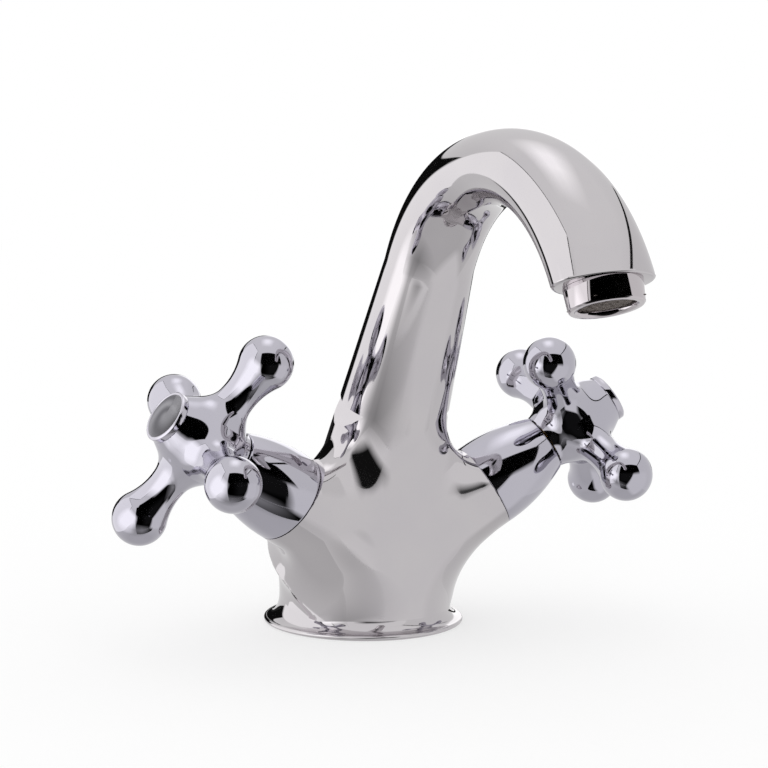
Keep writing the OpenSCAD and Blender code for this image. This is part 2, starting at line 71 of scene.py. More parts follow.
camera = bpy.data.objects.new("photo_camera", bpy.data.cameras.new("photo_camera"))
bpy.context.scene.collection.objects.link(camera)
camera.matrix_world = Matrix.Translation(camera_place) @ Matrix(
    (picture_right, picture_up, toward_camera)).transposed().to_4x4()
camera.data.sensor_width = 36
camera.data.lens = 93.03
camera.data.clip_start = 0.02
bpy.context.scene.camera = camera
print("camera", round(camera.location.length, 3), "m from the foot")

# %% [markdown]
# ## Working by hand, in code
#
# Each operator acts on whatever is selected, and the imported parts arrive
# selected. So a small helper first lets go of everything and then takes the one
# piece to work on. A second helper picks points in edit mode by a rule on their
# place, as one would with a box selection.
# %% Picking things up
def take(*pieces):
    """Selects these pieces and nothing else. The last one is active."""
    if bpy.context.mode != "OBJECT":
        bpy.ops.object.mode_set(mode="OBJECT")
    bpy.ops.object.select_all(action="DESELECT")
    for piece in pieces:
        piece.select_set(True)
        bpy.context.view_layer.objects.active = piece
    return pieces[-1]


def edit(piece, rule=None):
    """Opens a piece in edit mode with the points chosen by a rule selected."""
    take(piece)
    bpy.ops.object.mode_set(mode="EDIT")
    bpy.ops.mesh.select_mode(type="VERT")
    bpy.ops.mesh.select_all(action="SELECT")
    if rule:
        bpy.ops.mesh.select_all(action="DESELECT")
        bpy.ops.object.mode_set(mode="OBJECT")
        for point in piece.data.vertices:
            point.select = bool(rule(point.co))
        bpy.ops.object.mode_set(mode="EDIT")


def new_piece(name):
    """Names the primitive that was just added and puts its place in its mesh."""
    piece = take(bpy.context.active_object)
    piece.name = piece.data.name = name
    bpy.ops.object.transform_apply(location=True, rotation=True, scale=True)
    return piece


def gather(name, pieces):
    """Joins pieces into one mesh under a new name."""
    take(*pieces)
    bpy.ops.object.join()
    piece = take(bpy.context.active_object)
    piece.name = piece.data.name = name
    return piece


def finish_with(piece, kind, **settings):
    """Adds a modifier, sets it and applies it."""
    take(piece)
    step = piece.modifiers.new(kind.lower(), kind)
    for key, value in settings.items():
        setattr(step, key, value)
    bpy.ops.object.modifier_apply(modifier=step.name)
    return piece


def faces(piece):
    return f"{piece.name}: {len(piece.data.polygons)} faces"

# %% [markdown]
# ## The axes of the arms and of the outlet
#
# Each handle stands on an arm that rises 33.5 degrees from the deck and is swept
# 10 degrees towards the user. Parts of a handle are made upright around Z, where
# they are easy to think about, and then carried to their arm by one matrix. The
# outlet has such a matrix too. The left arm is a mirror image of the right one.
#
# The spout leans back up its neck, climbs over one arc to the crown and falls
# along a second, wider one to the nose. All sizes here are in millimetres.
# %% Axes
MM = 0.001
arm_rise = math.radians(33.5)
arm_sweep = math.radians(10)
arm_meet = Vector((0, -10.5, 19.3)) * MM
arm_length, arm_radius = 37.0, 12.7
right_arm = (
    Matrix.Translation(arm_meet)
    @ Matrix.Rotation(-arm_sweep, 4, "Z")
    @ Matrix.Rotation(math.pi / 2 - arm_rise, 4, "Y")
)
left_arm = Matrix.Diagonal((-1, 1, 1, 1)) @ right_arm
arms = {"left": left_arm, "right": right_arm}
arm_direction = np.array(right_arm.to_3x3().col[2])

mixer_height = 141.0
neck_lean = math.radians(28)
neck_foot = np.array((0, -15.5, 56.8))
neck_along = np.array((0, -math.sin(neck_lean), math.cos(neck_lean)))
neck_front = np.array((0, -math.cos(neck_lean), -math.sin(neck_lean)))
neck_half, spout_half, spout_flat = 16.9, 12.7, 0.77
rise_radius, fall_radius = 49.0, 53.5
fall_arc = math.radians(60)
crown_z = mixer_height - spout_half * spout_flat
neck_length = (
    crown_z - rise_radius * (1 - math.sin(neck_lean)) - neck_foot[2]) / math.cos(neck_lean)
crown_y = neck_foot[1] - neck_length * math.sin(neck_lean) - rise_radius * math.cos(neck_lean)
nose = Vector((
    0,
    crown_y - fall_radius * math.sin(fall_arc),
    crown_z - fall_radius * (1 - math.cos(fall_arc)),
)) * MM
outlet_tilt = math.radians(20)
outlet = (
    Matrix.Translation(nose)
    @ Matrix.Rotation(-outlet_tilt, 4, "X")
    @ Matrix.Translation((0, 0.4 * MM, 0))
)
print("neck", round(neck_length, 1), "mm long, nose at", [round(x, 4) for x in nose])

# %% [markdown]
# ## Turned parts
#
# Most of a tap is turned on a lathe, and a spin is Blender's lathe: half an
# outline, drawn as a chain of points, is swept once around Z. The chain is grown
# from one point by extruding it, just as one clicks out a profile by hand.
#
# A boolean then bores or trims a piece as a drill or a saw does, and a narrow
# bevel breaks its sharp edges, which catch the light on every machined part.
# %% Lathe
def lathe(name, outline, steps=96, closed=False):
    """Spins an outline of (radius, height) pairs, in millimetres, around Z."""
    points = [Vector((r, 0, z)) * MM for r, z in outline]
    bpy.ops.mesh.primitive_plane_add(size=MM, location=points[0])
    piece = new_piece(name)
    edit(piece)
    bpy.ops.mesh.merge(type="CENTER")
    for here, there in zip(points, points[1:]):
        bpy.ops.mesh.extrude_region_move(TRANSFORM_OT_translate={"value": there - here})
    if closed:
        ends = points[0], points[-1]
        edit(piece, lambda p: min((p - end).length for end in ends) < 1e-7)
        bpy.ops.mesh.edge_face_add()
    bpy.ops.mesh.select_all(action="SELECT")
    bpy.ops.mesh.spin(steps=steps, angle=2 * math.pi, center=(0, 0, 0), axis=(0, 0, 1))
    bpy.ops.mesh.select_all(action="SELECT")
    bpy.ops.mesh.remove_doubles(threshold=1e-6)
    bpy.ops.mesh.normals_make_consistent(inside=False)
    take(piece)
    return piece


def carry(piece, place):
    """Takes a finished piece to its place on the mixer, in its mesh."""
    piece.data.transform(place)
    if place.determinant() < 0:
        edit(piece)
        bpy.ops.mesh.flip_normals()
        take(piece)
    return piece


def ease(piece, width=0.25, segments=3, angle=32):
    """Breaks the sharp edges and shades the rest smooth."""
    finish_with(piece, "BEVEL", width=width * MM, segments=segments,
                limit_method="ANGLE", angle_limit=math.radians(angle),
                harden_normals=False)
    bpy.ops.object.shade_smooth_by_angle(angle=math.radians(angle))
    return piece


def cut(piece, tool):
    """Bores or trims a piece with a tool, and puts the tool away."""
    finish_with(piece, "BOOLEAN", operation="DIFFERENCE", object=tool, solver="MANIFOLD")
    bpy.data.objects.remove(tool)
    return piece

# %% [markdown]
# ## Forms that melt into each other
#
# The casting has no edges between foot, arms and neck: hollow fillets run from
# one into the next. Subdivision surfaces could follow them, but chrome shows each
# dent of a hand-placed cage. So the form is written as a rule: a function that
# is negative inside the metal, zero on its skin and positive outside. Simple
# forms are joined by a blend, which rounds the corner between them, and every
# point of a rough blank is moved along the slope of the rule until it lies on
# the skin. The slope also gives the exact normal for mirror-like shading.
# %% Settling a blank onto a form
def blend(a, b, width):
    """Joins two forms with a hollow fillet of about this width."""
    near = np.maximum(width - np.abs(a - b), 0) / width
    return np.minimum(a, b) - near * near * width / 4


def slope_of(form, points, reach=0.02):
    """The direction in which a form's value grows, at each point."""
    slope = np.empty_like(points)
    for axis in range(3):
        step = np.zeros(3)
        step[axis] = reach
        slope[:, axis] = (form(points + step) - form(points - step)) / (2 * reach)
    return slope


def read(items, field, width=1, kind=float):
    """One value of every item of a mesh, or one row where the value has a width."""
    found = np.empty(len(items) * width, kind)
    items.foreach_get(field, found)
    return found.reshape(-1, width) if width > 1 else found


def places(mesh):
    """Where a mesh's points are, in millimetres."""
    return read(mesh.vertices, "co", 3) / MM


def settle(piece, form, rounds=14):
    """Moves each point of a blank along the form's slope until it is on the skin."""
    points = places(piece.data)
    for _ in range(rounds):
        slope = slope_of(form, points)
        value = np.clip(form(points), -3, 3)
        points -= slope * (value / np.maximum((slope ** 2).sum(1), 0.1))[:, None]
    piece.data.vertices.foreach_set("co", (points * MM).ravel())
    piece.data.update()
    return float(np.abs(form(points)).max())


def cast(piece, form, grain):
    """Turns a rough blank into one even skin on the form, twice for an even mesh."""
    for voxel in (grain * 1.4, grain):
        finish_with(piece, "REMESH", mode="VOXEL", voxel_size=voxel * MM, use_smooth_shade=True)
        off = settle(piece, form)
    print(faces(piece), "at most", round(off, 4), "mm off its form")
    return piece


def shade_by(piece, forms, tolerance=0.03):
    """Gives each face that lies on one of the forms that form's own normals."""
    mesh = piece.data
    take(piece)
    bpy.ops.object.shade_smooth_by_angle(angle=math.radians(30))
    normals = read(mesh.corner_normals, "vector", 3)
    corner_point = read(mesh.loops, "vertex_index", kind=int)
    starts = read(mesh.polygons, "loop_start", kind=int)
    sizes = read(mesh.polygons, "loop_total", kind=int)
    flat = read(mesh.polygons, "normal", 3)
    face_of = np.repeat(np.arange(len(starts)), sizes)
    points = places(mesh)
    best = np.full(len(starts), np.inf)
    for form in forms:
        slope = slope_of(form, points)
        slope /= np.maximum(np.linalg.norm(slope, axis=1), 1e-9)[:, None]
        # A face belongs to a form when its corners are on it and it faces the same way
        off = np.maximum.reduceat(np.abs(form(points))[corner_point], starts)
        lean = np.minimum.reduceat((slope[corner_point] * flat[face_of]).sum(1), starts)
        score = np.where((off < tolerance) & (lean > 0.75), off, np.inf)
        better = score < best
        best = np.where(better, score, best)
        on_form = better[face_of]
        normals[on_form] = slope[corner_point[on_form]]
    mesh.normals_split_custom_set(normals.tolist())
    print(piece.name, "shaded by its forms on", int(np.isfinite(best).sum()), "faces")

# %% [markdown]
# ## The forms of the casting
#
# Three simple forms make the body: an upright waist with a domed top, two round
# arms, and the neck, an ellipse that tapers as it climbs and then follows two
# arcs to the nose. The fillet around the neck is wide in the middle and runs
# out before the arms' ends, because the bonnets need a round seat there.
# %% Body forms
waist_radius, waist_top = 24.5, 19.3


def eased(value, width):
    """The larger of a value and zero, with the corner at zero rounded."""
    return np.where(value > width, value, np.maximum(value + width, 0) ** 2 / (4 * width))


def waist_form(p):
    above = np.maximum(p[:, 2] - waist_top, 0)
    return np.sqrt(p[:, 0] ** 2 + p[:, 1] ** 2 + above ** 2) - waist_radius


def along_arm(p):
    """Both arms at once: X is folded in the middle, with the fold rounded."""
    folded = 2 * eased(p[:, 0], 7) - p[:, 0]
    from_meet = np.column_stack((folded, p[:, 1], p[:, 2])) - np.array(arm_meet) / MM
    return from_meet, from_meet @ arm_direction


def arm_form(p):
    from_meet, s = along_arm(p)
    across = from_meet - np.maximum(s, 0)[:, None] * arm_direction
    return np.linalg.norm(across, axis=1) - arm_radius


def neck_width(u):
    """Half the neck's width at a distance up from its foot."""
    return neck_half + (spout_half - neck_half) * u / neck_length


def spout_form(p):
    """The neck up to its end, then the rising arc, then the falling arc."""
    from_foot = p - neck_foot
    u = from_foot @ neck_along
    half = neck_width(np.minimum(u, neck_length))
    inward = from_foot @ neck_front
    for radius, part in (
        (rise_radius, (u > neck_length) & (p[:, 1] >= crown_y)),
        (fall_radius, p[:, 1] < crown_y),
    ):
        out = np.hypot(p[:, 1] - crown_y, p[:, 2] - (crown_z - radius))
        inward = np.where(part, radius - out, inward)
        half = np.where(part, spout_half, half)
    return (np.hypot(p[:, 0] / half, inward / (half * spout_flat)) - 1) * half * spout_flat


def neck_form(p):
    """The spout, ended inside the waist so that it doesn't show below."""
    buried = 34
    u = (p - neck_foot) @ neck_along
    return np.maximum(spout_form(p), -u - buried)


def body_form(p):
    """All three, with a fillet around the neck that fades over an arm's last 15 mm."""
    from_meet, s = along_arm(p)
    left_over = arm_length - s + 0.9 * eased(-from_meet[:, 1], 4)
    fade = 1 - eased(1 - left_over / 15, 0.15)
    fade = 0.3 + eased(fade - 0.3, 0.1)
    return blend(blend(waist_form(p), arm_form(p), 12), neck_form(p), 20 * fade)

# %% [markdown]
# ## The shoulders
#
# The blank is roughed out from primitives: a drum with a ball on top for the
# waist, two bars for the arms and a cone for the neck. A voxel remesh melts them
# into one closed skin of even quads, which then settles onto the body's form.
# %% Rough out and cast the shoulders
def add_bar(name, place, radius, low, high, top_radius=None):
    """A round bar around a local Z axis, between two heights in millimetres."""
    bpy.ops.mesh.primitive_cone_add(
        vertices=64, radius1=radius * MM, radius2=(top_radius or radius) * MM,
        depth=(high - low) * MM, location=(0, 0, (low + high) / 2 * MM))
    piece = new_piece(name)
    piece.data.transform(place)
    return piece


neck_place = (
    Matrix.Translation(Vector(neck_foot) * MM)
    @ Matrix.Rotation(neck_lean, 4, "X")
)
flattened = Matrix.Diagonal((1, spout_flat, 1, 1))
drum = add_bar("waist_blank", Matrix.Identity(4), waist_radius, -4, waist_top)
bpy.ops.mesh.primitive_uv_sphere_add(
    segments=64, ring_count=32, radius=waist_radius * MM, location=(0, 0, waist_top * MM))
ball = new_piece("waist_ball")
bars = [add_bar(side + "_arm_blank", arms[side], arm_radius, 0, arm_length + 8) for side in arms]
cone = add_bar("neck_blank", neck_place @ flattened, 19, -30, 22, top_radius=15.2)
body = gather("mixer_body", [ball, *bars, cone, drum])
cast(body, body_form, 0.9)

# %% [markdown]
# The cast skin runs past its ends on purpose, because a remesh rounds every rim.
# A saw cut then gives clean flat ends: one at each arm, where the bonnet sits, one
# above the foot and one across the neck, where foot and spout are joined on.
# %% Trim the shoulders flat
def trim(piece, at, out):
    """Cuts away what lies beyond a plane and closes the cut."""
    edit(piece)
    bpy.ops.mesh.bisect(plane_co=at, plane_no=out, use_fill=True, clear_outer=True)
    take(piece)


up, down = Vector((0, 0, 1)), Vector((0, 0, -1))
above_foot, up_neck_to = 0.0022, 0.014
for side in arms:
    trim(body, arms[side] @ Vector((0, 0, arm_length * MM)), arms[side].to_3x3() @ up)
trim(body, (0, 0, above_foot), down)
trim(body, neck_place @ Vector((0, 0, up_neck_to)), neck_place.to_3x3() @ up)
print(faces(body))

# %% [markdown]
# ## The arched spout
#
# Above the shoulders the spout is a plain swept tube, so it is made as one: an
# elliptical ring is extruded up the neck, spun around the first arc's centre to
# the crown and around the second to the nose. Even rings give even reflections.
# %% Sweep the spout
bpy.ops.mesh.primitive_circle_add(vertices=96, radius=MM)
spout = new_piece("spout_blank")
start_u, neck_steps, arc_steps = 11.0, 24, 44
ring_gap = (neck_length - start_u) / neck_steps
start_half = neck_width(start_u)
spout.data.transform(
    neck_place @ Matrix.Translation((0, 0, start_u * MM))
    @ Matrix.Diagonal((start_half, start_half * spout_flat, 1, 1)))
edit(spout)
for i in range(neck_steps):
    u = start_u + (neck_length - start_u) * (i + 1) / neck_steps
    here = neck_place @ Vector((0, 0, (u - ring_gap) * MM))
    move = (neck_place @ Vector((0, 0, u * MM))) - here
    bpy.ops.mesh.extrude_region_move(TRANSFORM_OT_translate={"value": move})
    bpy.ops.transform.resize(
        value=(neck_width(u) / neck_width(u - ring_gap),) * 3, center_override=here + move)
for radius, arc in ((rise_radius, math.pi / 2 - neck_lean), (fall_radius, fall_arc)):
    bpy.ops.mesh.spin(
        steps=arc_steps, angle=-arc, axis=(1, 0, 0),
        center=(0, crown_y * MM, (crown_z - radius) * MM))
bpy.ops.mesh.edge_face_add()
take(spout)
print(faces(spout))

# %% [markdown]
# The spin ends square to the tube, but the outlet's face is slanted. So every ring
# of the falling arc is fanned a little around the arc's centre, each point in
# proportion to its angle, until the last ring lies in the outlet's plane. The
# points stay on the tube, and a bevel rounds the nose's edge.
# %% Fan the last arc and round the nose
points = places(spout.data)
arc_y, arc_z = points[:, 1] - crown_y, points[:, 2] - (crown_z - fall_radius)
from_centre = np.hypot(arc_y, arc_z)
arc_angle = np.arctan2(-arc_y, arc_z)
to_plane = fall_radius * math.cos(fall_arc + outlet_tilt)
end_angle = np.arccos(np.clip(to_plane / from_centre, -1, 1)) - outlet_tilt
falling = points[:, 1] < crown_y - 1e-6
arc_angle = np.where(falling, arc_angle * end_angle / fall_arc, arc_angle)
points[:, 1] = np.where(falling, crown_y - from_centre * np.sin(arc_angle), points[:, 1])
points[:, 2] = np.where(
    falling, crown_z - fall_radius + from_centre * np.cos(arc_angle), points[:, 2])

# The first rings stand a hair proud of the shoulders, so that the two join cleanly
proud_by, proud_to, proud_fade = 0.03, 19, 4
up_neck = (points - neck_foot) @ neck_along
proud = proud_by * np.clip((proud_to - up_neck) / proud_fade, 0, 1) / neck_half
axis_point = neck_foot + up_neck[:, None] * neck_along
low = (up_neck < proud_to)[:, None] & ~falling[:, None]
points = np.where(low, axis_point + (points - axis_point) * (1 + proud[:, None]), points)
spout.data.vertices.foreach_set("co", (points * MM).ravel())
spout.data.update()


def height_up_neck(p):
    return (p / MM - Vector(neck_foot)).dot(Vector(neck_along))


out_of_nose = outlet.inverted()
edit(spout, lambda p: abs((out_of_nose @ p).z) < 2e-6)
bpy.ops.mesh.bevel(offset=0.9 * MM, segments=5, profile=0.5, affect="EDGES")
edit(spout, lambda p: abs(height_up_neck(p) - start_u) < 0.01)
bpy.ops.mesh.edge_face_add()
edit(spout)
bpy.ops.mesh.normals_make_consistent(inside=False)
take(spout)
print(faces(spout))

# %% [markdown]
# ## The foot
#
# The foot is turned: a thin rounded rim on the deck, and a hollow flare that runs
# up into the waist. The crease where the waist lands in the flare is real on such
# castings, so the foot is joined to the shoulders with a boolean and not blended.
# %% Turn the foot and join the casting
foot_radius, rim_radius, rim_height = 29, 0.7, 0.8
rim_centre = foot_radius - rim_radius
flare_low = rim_height + rim_radius
flare_wide, flare_tall = rim_centre - waist_radius, 8 - rim_height - 1
foot_outline = [(0, 0), (rim_centre, 0)]
for degrees in range(-75, 90, 15):
    a = math.radians(degrees)
    foot_outline.append(
        (rim_centre + rim_radius * math.cos(a), rim_height + rim_radius * math.sin(a)))
for degrees in range(-90, -181, -5):
    a = math.radians(degrees)
    foot_outline.append(
        (rim_centre + flare_wide * math.cos(a), flare_low + flare_tall * (1 + math.sin(a))))
foot_outline += [(24.4, 9), (0, 9)]
foot = lathe("foot_blank", foot_outline, steps=160)
for part in (spout, foot):
    finish_with(body, "BOOLEAN", operation="UNION", object=part, solver="MANIFOLD")
    bpy.data.objects.remove(part)
print(faces(body))


def foot_form(p):
    """The rim below and the hollow flare above, for the shading."""
    out = np.hypot(p[:, 0], p[:, 1]) - foot_radius + rim_radius
    rim = np.hypot(out, p[:, 2] - rim_height) - rim_radius
    in_hollow = np.hypot(out / flare_wide, (p[:, 2] - flare_low - flare_tall) / flare_tall)
    return np.where(p[:, 2] > flare_low, (1 - in_hollow) * flare_wide, rim)

# %% [markdown]
# ## Sockets and bores
#
# The casting is bored as the real one is: a socket for each headwork, the outlet's
# socket for the aerator, the hollow and the seal's groove under the foot, two
# threaded inlets and the hole for the fixing stud. A tool is turned for each cut.
# %% Bore the casting
def thread_outline(radius, low, high, pitch=1.0, depth=0.45):
    """A saw-tooth outline: rings a millimetre apart look the same as a thread."""
    outline = [(0, low), (radius, low)]
    z = low + pitch
    while z < high - pitch:
        outline += [(radius, z), (radius + depth, z + pitch / 2)]
        z += pitch
    return outline + [(radius, z), (radius, high), (0, high)]


hollow = [(0, -1), (19.5, -1), (19.5, 5), (0, 5)]
groove = [(20.5, -1), (24.5, -1), (24.5, 2.2), (20.5, 2.2)]
threaded = ((-9, 0, 4.5, 16), (9, 0, 4.5, 16), (0, 11, 3.4, 19))  # x, y, radius, top
socket = [(0, 23.5), (10.15, 23.5), (10.15, 38), (0, 38)]
mouth = [(0, -1), (8.3, -1), (8.3, 6.2), (6, 6.2), (6, 14), (0, 16)]
cut(body, lathe("hollow_tool", hollow, steps=128))
cut(body, lathe("groove_tool", groove, steps=128, closed=True))
for x, y, radius, top in threaded:
    tool = lathe("thread_tool", thread_outline(radius, 4, top), steps=48)
    cut(body, carry(tool, Matrix.Translation((x * MM, y * MM, 0))))
for side, place in arms.items():
    cut(body, carry(lathe("socket_tool", socket), place))
cut(body, carry(lathe("outlet_tool", mouth), outlet))
shade_by(body, [body_form, spout_form, foot_form], tolerance=0.06)
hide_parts("body")
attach(body, "mixer")
print(faces(body))

# %% [markdown]
# ## The cross handles
#
# Each handle is one casting: a domed hub with four clubs, which grow out of the
# hub with small fillets, narrow to a neck and end in a ball. A club is a ball and
# a hollow arc that touch without a kink, so its outline is exact.
# %% Forms of a handle
hub_points = np.array([
    (-3.0, 8.1), (0.0, 8.3), (2.2, 8.8), (4.6, 10.1), (7.0, 11.2), (9.0, 11.65), (10.8, 11.7),
    (13.0, 11.2), (16.0, 9.9), (19.4, 8.5), (21.8, 7.2), (25.0, 5.4)])


def smooth_profile(knots, z):
    """A curve through the knots without corners (a cubic between each two)."""
    z = np.clip(z, knots[0, 0] + 1e-6, knots[-1, 0] - 1e-6)
    slopes = np.gradient(knots[:, 1], knots[:, 0])
    i = np.clip(np.searchsorted(knots[:, 0], z) - 1, 0, len(knots) - 2)
    step = knots[i + 1, 0] - knots[i, 0]
    t = (z - knots[i, 0]) / step
    return (
        (1 + 2 * t) * (1 - t) ** 2 * knots[i, 1] + t * (1 - t) ** 2 * step * slopes[i]
        + t * t * (3 - 2 * t) * knots[i + 1, 1] + t * t * (t - 1) * step * slopes[i + 1]
    )


def hub_form(p):
    return (np.hypot(p[:, 0], p[:, 1]) - smooth_profile(hub_points, p[:, 2])) * 0.9


ball_reach, ball_radius = 27.0, 7.5
narrow_at, narrow_half = 16.0, 4.95
run = ball_reach - narrow_at
hollow_radius = (
    run ** 2 + narrow_half ** 2 - ball_radius ** 2) / (2 * (ball_radius - narrow_half))
hollow_out = narrow_half + hollow_radius
cross_height = 10.0


def clubs_form(p):
    """Four clubs along the X and Y axes, found by folding them onto one."""
    ax, ay = np.abs(p[:, 0]), np.abs(p[:, 1])
    t, across = np.maximum(ax, ay), np.minimum(ax, ay)
    r = np.hypot(across, p[:, 2] - cross_height)
    ball = np.hypot(r, t - ball_reach) - ball_radius
    hollow = hollow_radius - np.hypot(hollow_out - r, t - narrow_at)
    in_neck = (t - ball_reach) * hollow_out + r * run < 0
    return np.where(in_neck, hollow, ball)


def cross_form(p):
    return blend(hub_form(p), clubs_form(p), 3.2)


def form_at(place, form):
    """The same form, carried to a place on the mixer."""
    back = np.array(place.inverted())
    return lambda p: form((p * MM) @ back[:3, :3].T / MM + back[:3, 3] / MM)

# %% [markdown]
# Hub and clubs are cast in the same way as the shoulders, upright around Z. The
# ends are sawn flat and a core is bored: a recess for the headwork's neck at the
# bottom, a seat for the spindle, a hole for the screw and a seat for the index cap.
# Each handle is then turned to the angle that the photograph shows and carried
# to its arm, half a millimetre clear of its bonnet.
# %% Cast, bore and place each handle
hub_length = 21.8
core = [
    (0, -1), (7, -1), (7, 3), (4.05, 3), (4.05, 11), (2.3, 11), (2.3, 13.5), (4, 13.5),
    (4, 19.8), (6.15, 19.8), (6.15, 23), (0, 23)]


def cast_cross(name):
    blanks = [add_bar("hub_blank", Matrix.Identity(4), 10, -2.5, 24.5)]
    for quarter in range(4):
        turn = (
            Matrix.Rotation(quarter * math.pi / 2, 4, "Z")
            @ Matrix.Translation((0, 0, cross_height * MM)))
        lying = Matrix.Rotation(math.pi / 2, 4, "X")
        blanks.append(add_bar("club_blank", turn @ lying, 6, 4, 24, top_radius=5))
        bpy.ops.mesh.primitive_uv_sphere_add(
            segments=32, ring_count=16, radius=7.3 * MM,
            location=turn @ Vector((0, -ball_reach * MM, 0)))
        blanks.append(new_piece("ball_blank"))
    piece = gather(name, blanks)
    cast(piece, cross_form, 0.36)
    trim(piece, (0, 0, 0), down)
    trim(piece, (0, 0, hub_length * MM), up)
    return cut(piece, lathe("core_tool", core))


bonnet_gap, bonnet_length, handle_gap = 0.15, 21.8, 0.5
hub_height = (arm_length + bonnet_gap + bonnet_length + handle_gap) * MM
rest_turn = {"left": math.radians(21), "right": math.radians(33)}
for side, place in arms.items():
    cross = cast_cross(side + "_cross_handle")
    seat = (
        place @ Matrix.Translation((0, 0, hub_height))
        @ Matrix.Rotation(rest_turn[side], 4, "Z"))
    carry(cross, seat)
    shade_by(cross, [form_at(seat, cross_form)])
    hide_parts(side + "_cross")
    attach(cross, side + "_handle")
    print(faces(cross))

# %% [markdown]
# ## Bonnets
#
# A bonnet is a thin bell that hides the headwork. It is pressed or turned from
# brass tube, so it has a wall: outside, top and inside make one closed outline
# on the lathe. Its side swells a little between arm and neck.
# %% Bonnets
neck_radius, swell = 8.5, 1.3
neck_bore, neck_from, wall = 7.05, 16.8, 1.5


def bonnet_side(inset, high, steps):
    """The bell's side from its seat to a height, or the same line set inwards."""
    found = []
    for i in range(steps + 1):
        z = high * i / steps
        t = z / bonnet_length
        found.append((
            arm_radius - inset + (neck_radius - arm_radius) * t + 4 * swell * t * (1 - t), z))
    return found


for side, place in arms.items():
    outline = bonnet_side(0, bonnet_length, 40)
    outline += [(neck_bore, bonnet_length), (neck_bore, neck_from)]
    outline += bonnet_side(wall, neck_from, 12)[::-1]
    bonnet = ease(lathe(side + "_bonnet_bell", outline, steps=128, closed=True), 0.28)
    carry(bonnet, place @ Matrix.Translation((0, 0, (arm_length + bonnet_gap) * MM)))
    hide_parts(side + "_bonnet")
    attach(bonnet, "mixer")
    print(faces(bonnet))

# %% [markdown]
# ## Index caps
#
# The cap closes the hub: a spigot below, a raised rim and a face that is set in
# by two tenths of a millimetre. It gets a UV map that runs around its axis,
# because the turning marks on its face stretch each reflection along them.
# %% Index caps
cap_outline = [
    (0, -1.7), (6.1, -1.7), (6.1, 0), (7.1, 0), (7.3, 0.25), (7.3, 1.6), (6.95, 2.0),
    (6.6, 2.0), (6.45, 1.8), (0, 1.8)]


def wrap_around(piece, place):
    """A UV map: U is the turn around the axis, V the distance from it in centimetres."""
    layer = piece.data.uv_layers.new(name="around")
    back = place.inverted()
    for loop in piece.data.loops:
        p = back @ piece.data.vertices[loop.vertex_index].co
        layer.data[loop.index].uv = (
            math.atan2(p.y, p.x) / (2 * math.pi), math.hypot(p.x, p.y) / MM / 10)


for side, place in arms.items():
    cap = ease(lathe(side + "_index_disc", cap_outline, steps=128), 0.06, 2)
    seat = place @ Matrix.Translation((0, 0, hub_height + hub_length * MM))
    carry(cap, seat)
    wrap_around(cap, seat)
    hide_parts(side + "_index_cap")
    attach(cap, side + "_handle")
    print(faces(cap))

# %% [markdown]
# ## The aerator
#
# The collar under the nose is turned from bar, with its thread hidden in the
# casting. Inside its lower lip sits a woven screen, and a wireframe of a grid looks
# the same as a weave at this size. The real one is stamped round. This one is still
# square, so its four corners run through the collar's wall.
# %% Aerator
housing_outline = [
    (7.05, 4.6), (8.25, 4.6), (8.25, 0), (9.35, 0), (8.95, -5.2), (8.55, -5.7), (7.35, -5.7),
    (6.75, -5.2), (6.55, -4.2), (7.05, -4.2)]
housing = lathe("aerator_collar", housing_outline, steps=128, closed=True)
ease(housing, 0.12, angle=20)
carry(housing, outlet)
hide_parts("aerator_housing")
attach(housing, "mixer")

bpy.ops.mesh.primitive_grid_add(
    x_subdivisions=22, y_subdivisions=22, size=13.4 * MM, location=(0, 0, -4.35 * MM))
screen = new_piece("aerator_screen")
finish_with(screen, "WIREFRAME", thickness=0.16 * MM, use_replace=True)
carry(screen, outlet)
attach(screen, "mixer")
print(faces(housing), "and", faces(screen))

# %% [markdown]
# ## Finishes
#
# Every finish starts from one shader whose plain settings are made on its own
# sockets. Patterns are then fed into some of them: a noise that varies a value,
# a tone or a bump. All patterns read the object's own coordinates, so they stay
# on the metal from any side and when a handle is turned.
# %% Node helpers
def finish(name, **settings):
    """A new material, with settings made on its shader's own sockets."""
    material = bpy.data.materials.new(name)
    material.use_nodes = True
    shader = material.node_tree.nodes["Principled BSDF"]
    for socket, value in settings.items():
        shader.inputs[socket.replace("_", " ")].default_value = value
    return material


def add_node(owner, kind, **inputs):
    made = owner.node_tree.nodes.new(kind)
    for socket, value in inputs.items():
        made.inputs[socket.replace("_", " ")].default_value = value
    return made


def join(owner, source, target):
    owner.node_tree.links.new(source, target)


def feed(material, socket, source):
    """Leads a pattern into the material's shader."""
    join(material, source, material.node_tree.nodes["Principled BSDF"].inputs[socket])


def maths(owner, operation, *values):
    """A calculation with numbers and other nodes' outputs."""
    step = add_node(owner, "ShaderNodeMath")
    step.operation = operation
    for value, socket in zip(values, step.inputs):
        if isinstance(value, bpy.types.NodeSocket):
            join(owner, value, socket)
        else:
            socket.default_value = value
    return step.outputs["Value"]


def spread(owner, value, from_low, from_high, to_low=0.0, to_high=1.0):
    """Stretches one range of a value over another, and stops at its ends."""
    step = add_node(owner, "ShaderNodeMapRange", From_Min=from_low, From_Max=from_high,
                    To_Min=to_low, To_Max=to_high)
    join(owner, value, step.inputs["Value"])
    return step.outputs["Result"]


def between(owner, share, first, second):
    """The tone between two tones."""
    ramp = add_node(owner, "ShaderNodeValToRGB")
    ramp.color_ramp.elements[0].color = (*first, 1)
    ramp.color_ramp.elements[1].color = (*second, 1)
    join(owner, share, ramp.inputs["Fac"])
    return ramp.outputs["Color"]


def mottle(material, scale, low, high, detail=3):
    """A noise on the piece's own coordinates, spread between two values."""
    noise = add_node(material, "ShaderNodeTexNoise", Scale=scale, Detail=detail)
    join(material, add_node(material, "ShaderNodeTexCoord").outputs["Object"],
         noise.inputs["Vector"])
    return spread(material, noise.outputs["Fac"], 0.35, 0.65, low, high)


